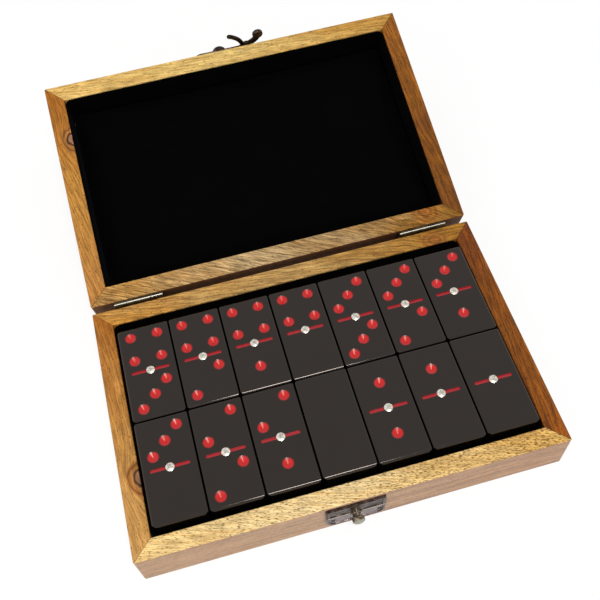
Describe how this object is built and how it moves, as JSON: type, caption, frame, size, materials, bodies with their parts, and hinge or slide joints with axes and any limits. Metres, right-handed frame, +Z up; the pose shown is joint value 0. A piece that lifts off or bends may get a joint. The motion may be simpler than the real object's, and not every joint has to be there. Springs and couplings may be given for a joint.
{
  "type": "hinged domino storage box",
  "caption": "Hinged wooden box with mitred rails, velvet lining and a swing-hook latch, holding a double-six set of spinner dominoes in two layers.",
  "frame": {"origin": "centre of the base's underside", "axes": "+X to the right as seen from the latch side, +Y towards the hinges, +Z up"},
  "size_m": [0.202, 0.2732, 0.0708],
  "materials": {
    "honey_wood": "satin lacquer",
    "red_wood": "satin lacquer",
    "velvet": "velvet pile",
    "bronze": "antiqued",
    "brass": "satin",
    "tile": "polished"
  },
  "bodies": {
    "base": {"base_front_rail": "honey_wood", "base_back_rail": "honey_wood", "base_left_rail": "honey_wood", "base_right_rail": "red_wood", "base_bottom_panel": "honey_wood", "base_lining": "velvet", "keeper_plate": "bronze", "keeper_stud": "bronze", "keeper_screws": "bronze", "left_hinge_base_leaf": "brass", "left_hinge_pin": "brass", "right_hinge_base_leaf": "brass", "right_hinge_pin": "brass", "hinge_base_screws": "brass"},
    "lid": {"lid_front_rail": "honey_wood", "lid_back_rail": "honey_wood", "lid_left_rail": "honey_wood", "lid_right_rail": "red_wood", "lid_top_panel": "honey_wood", "lid_lining": "velvet", "lid_pad": "velvet", "left_hinge_lid_leaf": "brass", "right_hinge_lid_leaf": "brass", "hinge_lid_screws": "brass", "latch_plate": "bronze", "latch_rivet": "bronze", "latch_screws": "bronze"},
    "hook": {"latch_hook": "bronze"},
    "domino_6_6": {"domino_6_6": "tile"},
    "domino_6_5": {"domino_6_5": "tile"},
    "domino_6_4": {"domino_6_4": "tile"},
    "domino_6_3": {"domino_6_3": "tile"},
    "domino_6_2": {"domino_6_2": "tile"},
    "domino_6_1": {"domino_6_1": "tile"},
    "domino_6_0": {"domino_6_0": "tile"},
    "domino_5_5": {"domino_5_5": "tile"},
    "domino_5_4": {"domino_5_4": "tile"},
    "domino_5_3": {"domino_5_3": "tile"},
    "domino_5_2": {"domino_5_2": "tile"},
    "domino_5_1": {"domino_5_1": "tile"},
    "domino_5_0": {"domino_5_0": "tile"},
    "domino_4_4": {"domino_4_4": "tile"},
    "domino_4_3": {"domino_4_3": "tile"},
    "domino_4_2": {"domino_4_2": "tile"},
    "domino_4_1": {"domino_4_1": "tile"},
    "domino_4_0": {"domino_4_0": "tile"},
    "domino_3_3": {"domino_3_3": "tile"},
    "domino_3_2": {"domino_3_2": "tile"},
    "domino_3_1": {"domino_3_1": "tile"},
    "domino_3_0": {"domino_3_0": "tile"},
    "domino_2_2": {"domino_2_2": "tile"},
    "domino_2_1": {"domino_2_1": "tile"},
    "domino_2_0": {"domino_2_0": "tile"},
    "domino_1_1": {"domino_1_1": "tile"},
    "domino_1_0": {"domino_1_0": "tile"},
    "domino_0_0": {"domino_0_0": "tile"}
  },
  "joints": [
    {"name": "lid_hinge", "type": "hinge", "parent": "base", "child": "lid", "pos_m": [0, 0.067, 0.0257], "axis": [-1, 0, 0], "range_deg": [-164, 0]},
    {"name": "hook_swing", "type": "hinge", "parent": "lid", "child": "hook", "pos_m": [-0.0014, 0.19798, 0.05759], "axis": [0, 0.9613, 0.2757], "range_deg": [-68, 112]},
    {"name": "domino_6_6_lift", "type": "slide", "parent": "base", "child": "domino_6_6", "axis": [0, 0, 1], "range_m": [0, 0.04]},
    {"name": "domino_6_5_lift", "type": "slide", "parent": "base", "child": "domino_6_5", "axis": [0, 0, 1], "range_m": [0, 0.04]},
    {"name": "domino_6_4_lift", "type": "slide", "parent": "base", "child": "domino_6_4", "axis": [0, 0, 1], "range_m": [0, 0.04]},
    {"name": "domino_6_3_lift", "type": "slide", "parent": "base", "child": "domino_6_3", "axis": [0, 0, 1], "range_m": [0, 0.04]},
    {"name": "domino_6_2_lift", "type": "slide", "parent": "base", "child": "domino_6_2", "axis": [0, 0, 1], "range_m": [0, 0.04]},
    {"name": "domino_6_1_lift", "type": "slide", "parent": "base", "child": "domino_6_1", "axis": [0, 0, 1], "range_m": [0, 0.04]},
    {"name": "domino_6_0_lift", "type": "slide", "parent": "base", "child": "domino_6_0", "axis": [0, 0, 1], "range_m": [0, 0.04]},
    {"name": "domino_5_5_lift", "type": "slide", "parent": "base", "child": "domino_5_5", "axis": [0, 0, 1], "range_m": [0, 0.04]},
    {"name": "domino_5_4_lift", "type": "slide", "parent": "base", "child": "domino_5_4", "axis": [0, 0, 1], "range_m": [0, 0.04]},
    {"name": "domino_5_3_lift", "type": "slide", "parent": "base", "child": "domino_5_3", "axis": [0, 0, 1], "range_m": [0, 0.04]},
    {"name": "domino_5_2_lift", "type": "slide", "parent": "base", "child": "domino_5_2", "axis": [0, 0, 1], "range_m": [0, 0.04]},
    {"name": "domino_5_1_lift", "type": "slide", "parent": "base", "child": "domino_5_1", "axis": [0, 0, 1], "range_m": [0, 0.04]},
    {"name": "domino_5_0_lift", "type": "slide", "parent": "base", "child": "domino_5_0", "axis": [0, 0, 1], "range_m": [0, 0.04]},
    {"name": "domino_4_4_lift", "type": "slide", "parent": "base", "child": "domino_4_4", "axis": [0, 0, 1], "range_m": [0, 0.04]},
    {"name": "domino_4_3_lift", "type": "slide", "parent": "domino_6_6", "child": "domino_4_3", "axis": [0, 0, 1], "range_m": [0, 0.04]},
    {"name": "domino_4_2_lift", "type": "slide", "parent": "domino_6_5", "child": "domino_4_2", "axis": [0, 0, 1], "range_m": [0, 0.04]},
    {"name": "domino_4_1_lift", "type": "slide", "parent": "domino_6_4", "child": "domino_4_1", "axis": [0, 0, 1], "range_m": [0, 0.04]},
    {"name": "domino_4_0_lift", "type": "slide", "parent": "domino_6_3", "child": "domino_4_0", "axis": [0, 0, 1], "range_m": [0, 0.04]},
    {"name": "domino_3_3_lift", "type": "slide", "parent": "domino_6_2", "child": "domino_3_3", "axis": [0, 0, 1], "range_m": [0, 0.04]},
    {"name": "domino_3_2_lift", "type": "slide", "parent": "domino_6_1", "child": "domino_3_2", "axis": [0, 0, 1], "range_m": [0, 0.04]},
    {"name": "domino_3_1_lift", "type": "slide", "parent": "domino_6_0", "child": "domino_3_1", "axis": [0, 0, 1], "range_m": [0, 0.04]},
    {"name": "domino_3_0_lift", "type": "slide", "parent": "domino_5_5", "child": "domino_3_0", "axis": [0, 0, 1], "range_m": [0, 0.04]},
    {"name": "domino_2_2_lift", "type": "slide", "parent": "domino_5_4", "child": "domino_2_2", "axis": [0, 0, 1], "range_m": [0, 0.04]},
    {"name": "domino_2_1_lift", "type": "slide", "parent": "domino_5_3", "child": "domino_2_1", "axis": [0, 0, 1], "range_m": [0, 0.04]},
    {"name": "domino_2_0_lift", "type": "slide", "parent": "domino_5_2", "child": "domino_2_0", "axis": [0, 0, 1], "range_m": [0, 0.04]},
    {"name": "domino_1_1_lift", "type": "slide", "parent": "domino_5_1", "child": "domino_1_1", "axis": [0, 0, 1], "range_m": [0, 0.04]},
    {"name": "domino_1_0_lift", "type": "slide", "parent": "domino_5_0", "child": "domino_1_0", "axis": [0, 0, 1], "range_m": [0, 0.04]},
    {"name": "domino_0_0_lift", "type": "slide", "parent": "domino_4_4", "child": "domino_0_0", "axis": [0, 0, 1], "range_m": [0, 0.04]}
  ]
}
